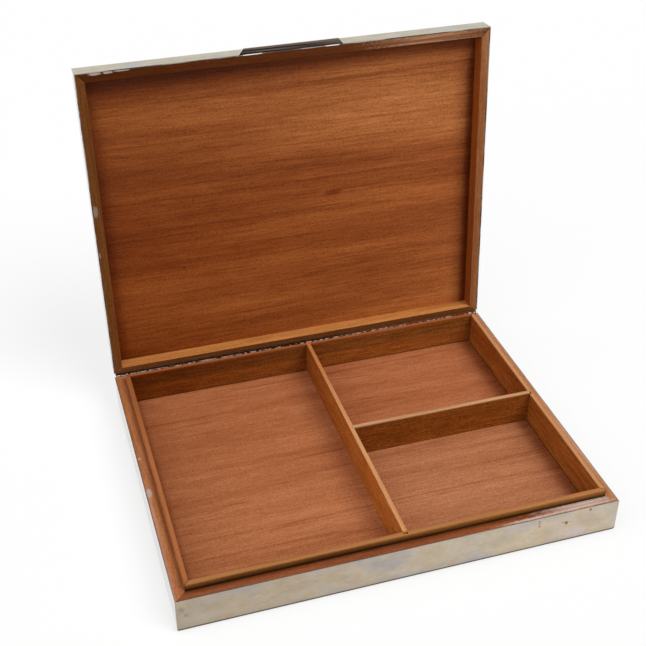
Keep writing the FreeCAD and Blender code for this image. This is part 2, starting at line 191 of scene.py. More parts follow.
class Shader(NodeTree):
    """Node material. Places and directions in it are those of the closed box, in metres."""

    def __init__(self, name, on_lid=False):
        self.material = bpy.data.materials.new(name)
        self.material.use_nodes = True
        super().__init__(self.material.node_tree)
        self.tree.nodes.clear()
        coordinates = self.node("TexCoord").outputs
        self.place = coordinates["Object"]
        self.facing = coordinates["Normal"]
        if on_lid:
            swing = {"Vector": self.place, "Rotation": LID_TURN, "Location": LID_SHIFT}
            self.place = self.node("Mapping", swing).outputs[0]
            swing = {"Vector": self.facing, "Rotation": LID_TURN}
            self.facing = self.node("Mapping", swing, vector_type="VECTOR").outputs[0]
        axes = self.node("SeparateXYZ", {"Vector": self.place}).outputs
        self.x, self.y, self.z = axes["X"], axes["Y"], axes["Z"]

    def colours(self, entry, stops):
        """Colour ramp through (place, colour) stops."""
        node = self.node("ValToRGB", {"Fac": entry})
        elements = node.color_ramp.elements
        while len(elements) < len(stops):
            elements.new(1.0)
        for element, (place, colour) in zip(elements, stops):
            element.position = place
            element.color = colour
        return node.outputs["Color"]

    def mix(self, factor, first, second, blend="MIX"):
        """Mix of two colours."""
        node = self.node("Mix", data_type="RGBA", blend_type=blend)
        self.feed(node.inputs[MIX_FACTOR], factor)
        self.feed(node.inputs[MIX_FIRST], first)
        self.feed(node.inputs[MIX_SECOND], second)
        return node.outputs[MIX_RESULT]

    def shade(self, colour, factor):
        """Colour times a factor."""
        return self.mix(1.0, colour, factor, "MULTIPLY")

    def shade_where(self, mask, colour, factor):
        """Colour times a factor that counts only where the mask is 1."""
        return self.mix(mask, colour, self.shade(colour, factor))

    def beside(self, outline):
        """Distance past the left or right line of an outline; it is negative between them."""
        left = self.math("SUBTRACT", outline.left, self.x)
        right = self.math("SUBTRACT", self.x, outline.right)
        return self.any_of(left, right)

    def beyond(self, outline):
        """Distance past the front or back line of an outline; it is negative between them."""
        front = self.math("SUBTRACT", outline.front, self.y)
        back = self.math("SUBTRACT", self.y, outline.back)
        return self.any_of(front, back)

    def outside(self, outline):
        """Distance outside an outline; it is negative inside."""
        return self.any_of(self.beside(outline), self.beyond(outline))

    def off_mitre(self, outline):
        """Distance from the mitre lines at the corners of an outline."""
        return self.math("ABSOLUTE", self.math("SUBTRACT", self.beside(outline), self.beyond(outline)))

    def grain(self, crossways, shift):
        """Places turned so that the grain runs along X, and shifted so that no two pieces are alike."""
        turn = (0.0, 0.0, math.radians(90) if crossways else 0.0)
        return self.node("Mapping", {"Vector": self.place, "Rotation": turn, "Location": shift}).outputs[0]

    def noise(self, vector, along, across, detail=2.0, roughness=0.55, distortion=0.0):
        """Noise with so many cells to the metre along X, which is the way of the grain, and across it."""
        scaled = self.node("Mapping", {"Vector": vector, "Scale": (along, across, across)}).outputs[0]
        inputs = {
            "Vector": scaled,
            "Scale": 1.0,
            "Detail": detail,
            "Roughness": roughness,
            "Distortion": distortion,
        }
        return self.node("TexNoise", inputs).outputs["Fac"]

    def faces(self, direction, low=0.70, high=0.95):
        """Mask of the faces that look one way."""
        inputs = {0: self.facing, 1: direction}
        along = self.node("VectorMath", inputs, operation="DOT_PRODUCT").outputs["Value"]
        return self.ramp(along, low, high)

    def near(self, centre_mm, reach_mm, softness):
        """Ragged mask that is 1 about a place and falls to 0 near the reach along X, Y and Z.

        The height of the place counts from the rim of the base.
        """
        centre = Vector(centre_mm) * MM + Vector((0.0, 0.0, BASE_RIM))
        scale = [1.0 / (reach * MM) for reach in reach_mm]
        shift = [-place * factor for place, factor in zip(centre, scale)]
        scaled = self.node("Mapping", {"Vector": self.place, "Scale": scale, "Location": shift}).outputs[0]
        distance = self.node("VectorMath", {0: scaled}, operation="LENGTH").outputs["Value"]
        ragged = self.weigh(
            (distance, 1.0),
            (self.noise(self.place, COARSE_CELLS, COARSE_CELLS), COARSE_WEIGHT),
            (self.noise(self.place, FINE_CELLS, FINE_CELLS), FINE_WEIGHT),
        )
        return self.ramp(ragged, MARK_EDGE - softness, MARK_EDGE + softness, 1.0, 0.0)

    def near_any(self, places, softness):
        """Mask of several marks, each given as its centre and reach."""
        return self.any_of(*[self.near(centre, reach, softness) for centre, reach in places])

    def marked(self, marks, softness):
        """Mask of several marks, up to their share."""
        return self.math("MULTIPLY", self.near_any(marks["places"], softness), marks["share"])

    def finish(self, surface):
        self.node("OutputMaterial", {"Surface": surface.outputs[0]})
        return self.material

    def finish_solid(self, inputs, height, strength, relief):
        """Material from the inputs of the solid's surface, with a relief that follows a height."""
        bump = self.node("Bump", {"Strength": strength, "Distance": relief, "Height": height})
        return self.finish(self.node("BsdfPrincipled", {**inputs, "Normal": bump.outputs[0]}))


# Finishes of the woods: tones from dark to light, weight of the broad bands, the pores and the thin streaks,
# then the gloss
WOODS = {
    "panel": {
        "tones": (display(122, 60, 22), display(152, 83, 38), display(178, 107, 55)),
        "bands": 0.45,
        "pores": 0.60,
        "streaks": 0.08,
        "roughness": 0.50,
        "specular": 0.10,
    },
    "floor": {
        "tones": (display(146, 80, 46), display(170, 102, 64), display(194, 124, 84)),
        "bands": 0.35,
        "pores": 0.60,
        "streaks": 0.12,
        "roughness": 0.55,
        "specular": 0.10,
    },
    "lining": {
        "tones": (display(96, 44, 12), display(132, 68, 26), display(164, 96, 46)),
        "bands": 0.25,
        "pores": 0.65,
        "streaks": 0.05,
        "roughness": 0.50,
        "specular": 0.10,
    },
    "lip": {
        "tones": (display(104, 58, 20), display(128, 80, 32), display(150, 100, 48)),
        "bands": 0.40,
        "pores": 0.50,
        "streaks": 0.05,
        "roughness": 0.45,
        "specular": 0.15,
    },
    "varnished": {
        "tones": (display(140, 76, 38), display(166, 98, 56), display(188, 120, 76)),
        "bands": 0.35,
        "pores": 0.35,
        "streaks": 0.10,
        "roughness": 0.30,
        "specular": 0.25,
    },
    "matt": {
        "tones": (display(140, 76, 34), display(164, 96, 48), display(182, 114, 62)),
        "bands": 0.35,
        "pores": 0.45,
        "streaks": 0.08,
        "roughness": 0.50,
        "specular": 0.05,
    },
    "board": {
        "tones": (display(110, 66, 38), display(134, 84, 50), display(156, 104, 66)),
        "bands": 0.45,
        "pores": 0.60,
        "streaks": 0.12,
        "roughness": 0.60,
        "specular": 0.20,
    },
}
PORE_COLOUR = display(48, 20, 6)
JOINT_COLOUR = display(70, 46, 32)
CHIP_COLOUR = display(184, 172, 158)
PALE_SHEEN = display(222, 200, 186)
WARM_SHEEN = display(180, 132, 97)

# Wooden pieces: "kind" is the finish, and most other keys are factors on its colour, plain or for red, green
# and blue. "shade" counts all over, "left_right" and "front_back" at those two ends of the box, "rim" on the
# edge that meets the other half of the box, "outer" on the outer face of a lining as painted light and shade,
# "foot" where that face meets the rim as dirt and painted shade, "upper" on the upper half of a lining, and
# "corner" on a rail along the lining as painted shadow of the lining.
# "top" is the colour of a rubbed top, "top_back" its colour at the back end, and "worn" the share of both.
# "joint" is the share of dirt along the silver
PIECES = {
    "bottom_board": {"kind": "board"},
    "floor_panel": {"kind": "floor"},
    # The lid panel's left-to-right factors darken its left and lighten its right as painted light falloff
    "lid_panel": {
        "kind": "panel",
        "left_right": ((0.67, 0.60, 0.48), (1.13, 1.25, 1.48)),
        "front_back": ((1.18, 1.24, 1.32), (1.15, 1.10, 1.00)),
    },
    "long_divider": {
        "kind": "lining",
        "shade": 1.30,
        "front_back": ((2.05, 2.45, 2.30), (1.20, 1.25, 1.05)),
        "top": display(219, 165, 117),
        "top_back": display(193, 127, 74),
        "worn": 0.75,
    },
    "cross_divider": {
        "kind": "lining",
        "shade": (1.05, 1.12, 0.85),
        "top": display(210, 162, 118),
        "worn": 0.95,
    },
    "front_lining": {
        "kind": "lip",
        "left_right": (0.90, 1.30),
        "top": display(186, 124, 74),
        "worn": 0.80,
        "outer": 0.85,
        "foot": 0.12,
    },
    "right_lining": {
        "kind": "lining",
        "shade": (1.52, 1.66, 1.55),
        "top": display(214, 159, 108),
        "worn": 0.75,
    },
    "back_lining": {
        "kind": "lining",
        "left_right": ((0.68, 0.59, 0.37), (1.42, 1.66, 1.60)),
        "top": display(172, 96, 54),
        "worn": 0.85,
        "upper": 0.66,
    },
    "left_lining": {
        "kind": "lining",
        "shade": 1.20,
        "top": display(182, 113, 69),
        "top_back": display(152, 92, 50),
        "worn": 0.80,
        "outer": (1.85, 2.10, 2.50),
        "foot": 0.90,
    },
    "base_front_rail": {
        "kind": "varnished",
        "left_right": ((0.64, 0.54, 0.54), (0.74, 0.60, 0.54)),
        "joint": 0.60,
        "corner": 0.50,
    },
    "base_right_rail": {"kind": "varnished", "shade": (1.45, 1.80, 1.85), "joint": 0.40, "corner": 0.85},
    "base_back_rail": {"kind": "varnished", "joint": 0.50, "corner": 0.85},
    "base_left_rail": {
        "kind": "varnished",
        "front_back": ((1.08, 1.12, 1.10), (0.88, 0.90, 0.90)),
        "joint": 0.10,
        "corner": 0.72,
    },
    "lid_front_rail": {
        "kind": "matt",
        "left_right": ((0.44, 0.33, 0.22), (0.62, 0.52, 0.42)),
        "rim": 0.50,
        "joint": 0.75,
    },
    "lid_right_rail": {
        "kind": "matt",
        "shade": (0.90, 0.76, 0.55),
        "rim": (0.90, 1.25, 2.40),
        "joint": 0.75,
    },
    "lid_back_rail": {
        "kind": "matt",
        "shade": (1.55, 2.00, 2.20),
        "rim": (0.27, 0.21, 0.19),
        "joint": 0.75,
    },
    "lid_left_rail": {"kind": "matt", "rim": (0.40, 0.42, 0.37), "joint": 0.75},
}

# Words in the names of the pieces whose grain runs from front to back, and the shift from one piece's grain
# to the next one's
CROSSWAYS = ("left", "right", "long")
GRAIN_SHIFT = (0.31, 0.17, 0.05)

# Factors on the colour of the floor in the three compartments
LEFT_FLOOR = (1.06, 1.10, 1.10)
BACK_RIGHT_FLOOR = (1.02, 1.00, 0.98)
FRONT_RIGHT_FLOOR = (1.12, 1.28, 1.44)

# Marks on the wood, each with its centre and its reach in millimetres; heights count from the rim of the
# base. First the chips in the varnish
CHIPS = {
    "base_left_rail": {
        "share": 0.85,
        "places": (
            ((-137.8, -16.9, 0.0), (2.2, 5.6, 2.0)),
            ((-138.0, 17.4, 0.0), (1.8, 1.0, 2.0)),
        ),
    },
    "lid_left_rail": {
        "share": 0.34,
        "places": (
            ((-138.0, -16.8, 0.25), (2.2, 5.2, 2.0)),
            ((-138.8, 15.3, 0.25), (0.8, 2.8, 2.0)),
        ),
    },
    "lid_front_rail": {
        "share": 0.80,
        "places": (
            ((-127.0, -108.9, 0.25), (4.5, 1.3, 2.0)),
            ((-119.0, -109.0, 0.25), (4.0, 1.1, 2.0)),
            ((-110.0, -109.3, 0.25), (7.0, 0.7, 2.0)),
        ),
    },
}

# Streaks where the varnish is rubbed pale, together with painted reflections of the bright room in it
SHEENS = {
    "base_front_rail": {
        "colour": PALE_SHEEN,
        "share": 0.82,
        "places": (
            ((116.0, -106.6, 0.0), (34.0, 5.0, 2.0)),
            ((84.0, -108.8, 0.0), (28.0, 1.4, 2.0)),
        ),
    },
    "base_right_rail": {
        "colour": PALE_SHEEN,
        "share": 0.18,
        "places": (((139.0, -50.0, 0.0), (2.6, 60.0, 2.0)),),
    },
    "base_left_rail": {
        "colour": PALE_SHEEN,
        "share": 0.26,
        "places": (((-139.4, -45.0, 0.0), (2.2, 80.0, 2.0)),),
    },
    "lid_front_rail": {
        "colour": WARM_SHEEN,
        "share": 0.90,
        "places": (((98.0, -106.6, 0.25), (50.0, 5.4, 2.0)),),
    },
    "lid_right_rail": {
        "colour": WARM_SHEEN,
        "share": 0.45,
        "places": (((138.4, -95.0, 0.25), (2.4, 22.0, 2.0)),),
    },
}

# Dark knots in the panels, and a pale patch of painted light towards the front right of the lid panel, with
# their factors on the colour
KNOTS = {
    "lid_panel": (
        ((29.0, -1.2, 0.0), (8.0, 2.6, 60.0)),
        ((-81.5, 39.5, 0.0), (1.4, 1.2, 60.0)),
    ),
    "floor_panel": (((131.0, 52.0, -18.0), (1.6, 4.0, 4.0)),),
}
KNOT_TINT = (0.65, 0.50, 0.40)
PAINTED_LIGHT_PATCHES = {"lid_panel": (((84.0, -66.0, 0.0), (60.0, 26.0, 60.0)),)}
PAINTED_LIGHT_TINT = (1.16, 1.26, 1.36)

# Tone of plain wood: the middle of a noise, the weight of each layer of grain, the reach to dark and light,
# and the pores and veins
NOISE_MIDDLE = 0.5
DRIFT_WEIGHT = 0.25
LINES_WEIGHT = 0.20
FIBRE_WEIGHT = 0.55
FLECK_WEIGHT = 0.60
TONE_REACH = 0.17
PORE_LIMITS = (0.52, 0.70)
PORE_SHARE = 0.5
VEIN_WIDTH = 0.015


class Grain:
    """Layers of noise that make up straight-grained wood."""

    def __init__(self, shader, crossways, shift):
        places = shader.grain(crossways, shift)
        self.drift = shader.noise(places, along=3.0, across=12.0)
        self.bands = shader.noise(places, along=5.0, across=60.0, detail=3.0, roughness=0.50, distortion=0.3)
        self.lines = shader.noise(places, along=14.0, across=420.0, detail=3.0)
        self.fibre = shader.noise(places, along=60.0, across=1000.0, roughness=0.60)
        self.fleck = shader.noise(places, along=600.0, across=1100.0, detail=3.0, roughness=0.65)
        pores = shader.noise(places, along=600.0, across=1500.0, detail=1.0)
        self.pores = shader.ramp(pores, *PORE_LIMITS)
        veins = shader.noise(places, along=1.5, across=95.0, detail=1.0)
        off_vein = shader.math("ABSOLUTE", shader.math("SUBTRACT", veins, NOISE_MIDDLE))
        self.veins = shader.ramp(off_vein, 0.0, VEIN_WIDTH, 1.0, 0.0)


def wood_colour(shader, grain, finish):
    """Colour of plain wood: bands and drifts of tone, fibres, pores and thin dark streaks."""
    bands = finish["bands"]
    tone = shader.weigh(
        (grain.drift, DRIFT_WEIGHT),
        (grain.bands, bands),
        (grain.lines, LINES_WEIGHT),
        (grain.fibre, FIBRE_WEIGHT - 0.5 * bands),
        (grain.fleck, FLECK_WEIGHT - 0.5 * bands),
        (grain.veins, -finish["streaks"]),
    )
    centre = NOISE_MIDDLE * (DRIFT_WEIGHT + LINES_WEIGHT + FIBRE_WEIGHT + FLECK_WEIGHT)
    dark, middle, light = finish["tones"]
    stops = ((centre - TONE_REACH, dark), (centre, middle), (centre + TONE_REACH, light))
    pores = shader.math("MULTIPLY", grain.pores, PORE_SHARE * finish["pores"])
    return shader.mix(pores, shader.colours(tone, stops), PORE_COLOUR)


def shade_by_place(shader, colour, piece):
    """Colour times the factors of the piece from one end of the box to the other, and all over."""
    ends = {
        "left_right": (shader.x, BOX_OUTLINE.left, BOX_OUTLINE.right),
        "front_back": (shader.y, BOX_OUTLINE.front, BOX_OUTLINE.back),
    }
    for way, (place, low, high) in ends.items():
        if way in piece:
            first, last = piece[way]
            passage = shader.ramp(place, low, high)
            colour = shader.shade(colour, shader.mix(passage, tint(first), tint(last)))
    if "shade" in piece:
        colour = shader.shade(colour, tint(piece["shade"]))
    return colour


# Linings and dividers: dirt above the floor, dirt and painted shade above the rim, the darker upper half below
# its top edge, and the dark line of a mitre
FLOOR_DIRT = 0.60
FLOOR_DIRT_HEIGHT = 0.9 * MM
RIM_DIRT_AND_SHADE_FULL = 0.4 * MM
RIM_DIRT_AND_SHADE_END = 4.0 * MM
UPPER_START = 13.5 * MM
UPPER_FULL = 9.0 * MM
MITRE_FULL = 0.15 * MM
LINING_MITRE_END = 0.50 * MM
LINING_MITRE_SHARE = 0.85

# Rubbed tops: how far the wear and a painted highlight come down over the upper edges, how the wear follows the
# lines of the grain, and the stretch in which the colour of the back end comes in
RUBBED_AND_LIT_EDGE = 0.55
RUBBED_AND_LIT_EDGE_START = 1.4 * MM
RUBBED_AND_LIT_EDGE_FULL = 0.3 * MM
WEAR_LIMITS = (0.25, 0.55)
LEAST_WEAR = 0.6
BACK_END_START = -20.0 * MM
BACK_END_FULL = 100.0 * MM


def shade_lining(shader, colour, node):
    """Dirt above the floor, painted light and shade on the outer face with dirt and shade at its foot, a darker
    upper half.
    """
    piece = PIECES[node]
    dirt = shader.ramp(shader.z, FLOOR_TOP, FLOOR_TOP + FLOOR_DIRT_HEIGHT, FLOOR_DIRT, 1.0)
    colour = shader.shade(colour, dirt)
    # Outer face of a lining: lighter or darker as painted light and shade, with dirt and painted shade at its foot
    if "outer" in piece:
        side = node.split("_")[0]
        foot = shader.ramp(shader.z, BASE_RIM + RIM_DIRT_AND_SHADE_FULL, BASE_RIM + RIM_DIRT_AND_SHADE_END, piece["foot"], 1.0)
        outer = shader.shade(tint(piece["outer"]), foot)
        colour = shader.shade_where(shader.faces(OUTWARD[side]), colour, outer)
    if "upper" in piece:
        upper = shader.ramp(shader.z, LINING_TOP - UPPER_START, LINING_TOP - UPPER_FULL, 1.0, piece["upper"])
        colour = shader.shade(colour, upper)
    return colour


def rub_top(shader, colour, node, grain):
    """Paler top of a lining or divider, with wear and a painted highlight coming down over its upper edges."""
    piece = PIECES[node]
    top_colour = piece["top"]
    if "top_back" in piece:
        back_end = shader.ramp(shader.y, BACK_END_START, BACK_END_FULL)
        top_colour = shader.mix(back_end, piece["top"], piece["top_back"])
    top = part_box(node)[1].z
    # Band below the top edge: wear and a painted highlight on the rounded edge
    edge = shader.ramp(shader.z, top - RUBBED_AND_LIT_EDGE_START, top - RUBBED_AND_LIT_EDGE_FULL, 0.0, RUBBED_AND_LIT_EDGE)
    wear_and_highlight = shader.any_of(shader.faces(UP), edge)
    worn = shader.ramp(grain.lines, *WEAR_LIMITS, LEAST_WEAR * piece["worn"], piece["worn"])
    return shader.mix(shader.math("MULTIPLY", wear_and_highlight, worn), colour, top_colour)


# Dirt along the edges of the floor, and painted shadow of the left and right linings beside them
FLOOR_EDGE = 0.75
FLOOR_EDGE_REACH = 1.2 * MM
FLOOR_SIDE_SHADOW_TINT = (0.60, 0.48, 0.38)
FLOOR_SIDE_FULL = 1.0 * MM
FLOOR_LEFT_REACH = 7.0 * MM
FLOOR_RIGHT_REACH = 13.0 * MM


def shade_floor(shader, colour):
    """Own tone of each compartment, painted shadow of the linings on the left and right, and dirt along its edges.
    """
    on_right = shader.math("GREATER_THAN", shader.x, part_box("cross_divider")[0].x)
    in_front = shader.math("LESS_THAN", shader.y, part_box("cross_divider")[0].y)
    tone = shader.mix(in_front, tint(BACK_RIGHT_FLOOR), tint(FRONT_RIGHT_FLOOR))
    colour = shader.shade(colour, shader.mix(on_right, tint(LEFT_FLOOR), tone))
    left, right = FLOOR_OUTLINE.left, FLOOR_OUTLINE.right
    left_shadow = shader.ramp(shader.x, left + FLOOR_SIDE_FULL, left + FLOOR_LEFT_REACH, 1.0, 0.0)
    right_shadow = shader.ramp(shader.x, right - FLOOR_RIGHT_REACH, right - FLOOR_SIDE_FULL)
    # Painted shadow of the linings on the floor beside the left and right walls
    colour = shader.shade_where(shader.any_of(left_shadow, right_shadow), colour, tint(FLOOR_SIDE_SHADOW_TINT))
    edge = shader.ramp(shader.outside(FLOOR_OUTLINE), -FLOOR_EDGE_REACH, 0.0, 1.0, FLOOR_EDGE)
    return shader.shade(colour, edge)


# Lid panel: a darker heart about a line from left to right, edges darkened on the right and in front as
# painted shade, and painted shadow of the rails beside them
HEART_TINT = (0.82, 0.72, 0.60)
HEART_LINE = 5.0 * MM
HEART_FULL = 15.0 * MM
HEART_END = 70.0 * MM
PANEL_BORDER_SHADE = 0.65
PANEL_BORDER_SHADE_REACH = 16.0 * MM
PANEL_SHADOW_TINT = (0.50, 0.31, 0.12)
PANEL_SIDE_FULL = 1.0 * MM
PANEL_LEFT_SHARE = 0.60
PANEL_LEFT_REACH = 10.0 * MM
PANEL_RIGHT_REACH = 7.5 * MM
PANEL_FRONT_REACH = 28.0 * MM


def shade_panel(shader, colour):
    """Darker heart of the lid panel, and painted shade and painted shadow of the rails along its edges except
    along the hinge.
    """
    from_heart = shader.math("ABSOLUTE", shader.math("SUBTRACT", shader.y, HEART_LINE))
    heart = shader.ramp(from_heart, HEART_FULL, HEART_END, 1.0, 0.0)
    colour = shader.shade_where(heart, colour, tint(HEART_TINT))
    left, right, front, back = PANEL_OUTLINE
    left_shadow = shader.ramp(shader.x, left + PANEL_SIDE_FULL, left + PANEL_LEFT_REACH, PANEL_LEFT_SHARE, 0.0)
    right_shadow = shader.ramp(shader.x, right - PANEL_RIGHT_REACH, right - PANEL_SIDE_FULL)
    front_shadow = shader.ramp(shader.y, front, front + PANEL_FRONT_REACH, 1.0, 0.0)
    # Painted shadow of the left, right and front rails on the panel
    dirty = shader.any_of(left_shadow, right_shadow, front_shadow)
    colour = shader.shade_where(dirty, colour, tint(PANEL_SHADOW_TINT))
    # Painted shade that darkens the panel towards its right and front edges
    edge_shade_outline = Outline(left - PANEL_BORDER_SHADE_REACH, right, front, back + PANEL_BORDER_SHADE_REACH)
    edge_shade = shader.ramp(shader.outside(edge_shade_outline), -PANEL_BORDER_SHADE_REACH, 0.0, 1.0, PANEL_BORDER_SHADE)
    return shader.shade(colour, edge_shade)


# Rails: painted shadow of the lining, streaks in a sheen of rubbed varnish and painted reflection, a mitre of
# the lid that has opened, and patchy dirt along the silver
RAIL_SHADOW_REACH = 3.2 * MM
SHEEN_LIMITS = (0.35, 0.65)
LEAST_SHEEN = 0.25
OPEN_MITRE = ("lid_front_rail", "lid_right_rail")
OPEN_MITRE_END = 0.55 * MM
OPEN_MITRE_SHARE = 0.8
JOINT_START = -0.35 * MM
JOINT_FULL = -0.10 * MM
JOINT_CELLS = 120.0
JOINT_LIMITS = (0.35, 0.60)
LEAST_JOINT = 0.2


def mark_rail(shader, colour, node, grain):
    """Chips and a sheen on a rail, painted shadow along the lining, and dark joints along the silver and at an
    open mitre.
    """
    piece = PIECES[node]
    # Painted shadow that the lining casts on the rail beside it
    if "corner" in piece:
        corner = shader.ramp(shader.outside(LINING_OUTLINE), 0.0, RAIL_SHADOW_REACH, piece["corner"], 1.0)
        colour = shader.shade(colour, corner)
    # Sheen: varnish rubbed pale together with a painted reflection
    if node in SHEENS:
        sheen = SHEENS[node]
        streaky = shader.ramp(grain.lines, *SHEEN_LIMITS, LEAST_SHEEN, 1.0)
        wear_and_highlight = shader.math("MULTIPLY", shader.marked(sheen, SOFTNESS["sheen"]), streaky)
        colour = shader.mix(wear_and_highlight, colour, sheen["colour"])
    if node in CHIPS:
        colour = shader.mix(shader.marked(CHIPS[node], SOFTNESS["chip"]), colour, CHIP_COLOUR)
    if node in OPEN_MITRE:
        from_right = shader.math("SUBTRACT", FRAME_OUTLINE.right, shader.x)
        from_front = shader.math("SUBTRACT", shader.y, FRAME_OUTLINE.front)
        off_mitre = shader.math("ABSOLUTE", shader.math("SUBTRACT", from_right, from_front))
        opened = shader.ramp(off_mitre, MITRE_FULL, OPEN_MITRE_END, OPEN_MITRE_SHARE, 0.0)
        colour = shader.mix(opened, colour, JOINT_COLOUR)
    joint = piece["joint"]
    gap = shader.ramp(shader.outside(FRAME_OUTLINE), JOINT_START, JOINT_FULL)
    cloud = shader.noise(shader.place, JOINT_CELLS, JOINT_CELLS)
    patchy = shader.ramp(cloud, *JOINT_LIMITS, LEAST_JOINT * joint, joint)
    return shader.mix(shader.math("MULTIPLY", gap, patchy), colour, JOINT_COLOUR)


# Surface of the wood: relief of its grain, and how far the roughness goes below and above that of the finish
WOOD_RELIEF = 0.10 * MM
WOOD_RELIEF_STRENGTH = 0.5
FLECK_HEIGHT = 0.35
FIBRE_HEIGHT = 0.25
PORE_HEIGHT = -0.5
GLOSS_LIMITS = (0.3, 0.7)
GLOSSIER = 0.05
DULLER = 0.08


def wood(node):
    """Material of one wooden piece."""
    piece = PIECES[node]
    finish = WOODS[piece["kind"]]
    shader = Shader(node, node in LID_NODES)
    crossways = any(word in node for word in CROSSWAYS)
    number = list(PIECES).index(node)
    grain = Grain(shader, crossways, [number * shift for shift in GRAIN_SHIFT])
    colour = wood_colour(shader, grain, finish)
    colour = shade_by_place(shader, colour, piece)
    if "worn" in piece:
        colour = shade_lining(shader, colour, node)
        colour = rub_top(shader, colour, node, grain)
    if node.endswith("_lining"):
        off_mitre = shader.off_mitre(LINING_OUTLINE)
        mitre = shader.ramp(off_mitre, MITRE_FULL, LINING_MITRE_END, LINING_MITRE_SHARE, 0.0)
        colour = shader.mix(mitre, colour, PORE_COLOUR)
    if "rim" in piece:
        colour = shader.shade_where(shader.faces(DOWN), colour, tint(piece["rim"]))
    if node == "lid_panel":
        colour = shade_panel(shader, colour)
    if node == "floor_panel":
        colour = shade_floor(shader, colour)
    if node in KNOTS:
        knots = shader.near_any(KNOTS[node], SOFTNESS["knot"])
        colour = shader.shade_where(knots, colour, tint(KNOT_TINT))
    # Painted light on a patch of the lid panel
    if node in PAINTED_LIGHT_PATCHES:
        painted_light = shader.near_any(PAINTED_LIGHT_PATCHES[node], SOFTNESS["patch"])
        colour = shader.shade_where(painted_light, colour, tint(PAINTED_LIGHT_TINT))
    if node.endswith("_rail"):
        colour = mark_rail(shader, colour, node, grain)

    rough = finish["roughness"]
    inputs = {
        "Base Color": colour,
        "Roughness": shader.ramp(grain.lines, *GLOSS_LIMITS, rough - GLOSSIER, rough + DULLER),
        "Specular IOR Level": finish["specular"],
    }
    height = shader.weigh(
        (grain.fleck, FLECK_HEIGHT),
        (grain.fibre, FIBRE_HEIGHT),
        (grain.pores, PORE_HEIGHT),
    )
    return shader.finish_solid(inputs, height, WOOD_RELIEF_STRENGTH, WOOD_RELIEF)


PLAIN_SILVER = display(216, 214, 210)
SILVER_TONES = (
    (0.34, display(176, 169, 164)),
    (0.43, display(184, 172, 158)),
    (0.50, display(190, 176, 156)),
    (0.57, display(190, 172, 144)),
    (0.66, display(192, 176, 166)),
)
TARNISH = display(120, 106, 88)
# Bright silver for painted light: the lit left side, glints on the bare edge, and highlights with rubbed metal on
# the hinge
BRIGHT_SILVER = display(240, 238, 235)
# Grime, which also colours the painted shade on the rolled lower edge
GRIME = display(60, 44, 34)
OLD_OIL = display(44, 26, 14)
DRY_OIL = display(98, 57, 32)
EDGE = display(188, 178, 170)
STAIN = display(132, 94, 58)
# Tones of the black patina and painted dark reflection on the thumb piece
PATINA_AND_REFLECTION_TONES = ((0.40, display(40, 32, 28)), (0.62, display(110, 96, 88)))

# Silver pieces: "left_right" gives factors on the colour at those two ends of the box. "tarnish" is the
# share of tarnish where it isn't slight, "plain" the share of plain silver without clouds except on a front
# face, and the key for the left side the share of bright silver there, as painted light. "rim" is the way
# that the sheet's bare edge looks, and "dirt" its share of grime. "soiled" is the way that a side with dashes
# of grime between bright dashes of rubbed metal and painted highlights looks, "black" the way that the fully
# soiled part of it looks, and the key for a dark face the way that a face darkened by black patina and a painted
# dark reflection looks
SILVERS = {
    "base_front_silver": {"rim": UP, "dirt": 0.60, "left_right": ((0.88, 0.88, 0.89), (1.12, 1.14, 1.17))},
    "base_right_silver": {"rim": UP, "dirt": 0.50, "plain": 0.65},
    "base_back_silver": {"rim": UP, "dirt": 0.60, "plain": 0.65},
    "base_left_silver": {"rim": UP, "dirt": 0.15, "lit_left_side": 0.85},
    "lid_silver_cover": {
        "rim": DOWN,
        "dirt": 0.95,
        "left_right": ((0.97, 1.05, 1.06), (0.95, 1.01, 0.97)),
        "plain": 0.75,
        "lit_left_side": 0.60,
    },
    "thumb_piece": {"patina_and_reflection": DOWN, "plain": 0.65},
    "hinge_base_strip": {"tarnish": 0.30, "plain": 0.65, "soiled": (0.0, -0.6, 0.8), "black": UP},
    "hinge_lid_strip": {
        "tarnish": 0.30,
        "plain": 0.65,
        "soiled": (0.0, -0.6, -0.8),
        "black": OUTWARD["front"],
    },
    "hinge_pin": {"tarnish": 1.00},
}

# Marks on the silver, with centre, reach and height as for those on the wood: brown stains, and painted
# highlights on the bare edge beside the thumb piece
STAINS = {
    "base_front_silver": (
        {
            "share": 0.90,
            "places": (
                ((104.6, -110.2, -8.5), (1.8, 1.0, 1.8)),
                ((120.6, -110.2, -1.8), (1.2, 1.0, 1.6)),
            ),
        },
        {
            "share": 0.50,
            "places": (
                ((85.9, -110.2, -2.2), (1.1, 1.0, 1.0)),
                ((86.0, -110.2, -4.0), (1.1, 1.0, 1.0)),
                ((86.1, -110.2, -6.4), (1.3, 1.0, 1.2)),
                ((102.6, -110.2, -7.6), (1.8, 1.0, 0.8)),
            ),
        },
        {
            "share": 0.30,
            "places": (
                ((107.5, -110.2, -8.2), (1.2, 1.0, 0.7)),
                ((-136.6, -110.2, -7.0), (2.2, 1.0, 2.6)),
                ((-134.2, -110.2, -12.0), (1.8, 1.0, 1.8)),
            ),
        },
    ),
}
PAINTED_GLINTS = {
    "lid_silver_cover": (
        ((-26.0, -110.0, 0.25), (9.0, 0.8, 1.5)),
        ((28.0, -110.0, 0.25), (7.0, 0.8, 1.5)),
    ),
}

# Colour of the sheet: tarnish by blotches, mottling, rubbing marks, and a darker foot above the ground
SLIGHT_TARNISH = 0.20
TARNISH_LIMITS = (0.35, 0.75)
MOTTLE_LIMITS = (0.32, 0.68)
MOTTLE_FACTORS = (0.97, 1.03)
RUB_LIMITS = (0.3, 0.7)
RUB_FACTORS = (0.98, 1.02)
FOOT_SHADE = 0.88
FOOT_START = 2.0 * MM
FOOT_END = 8.0 * MM


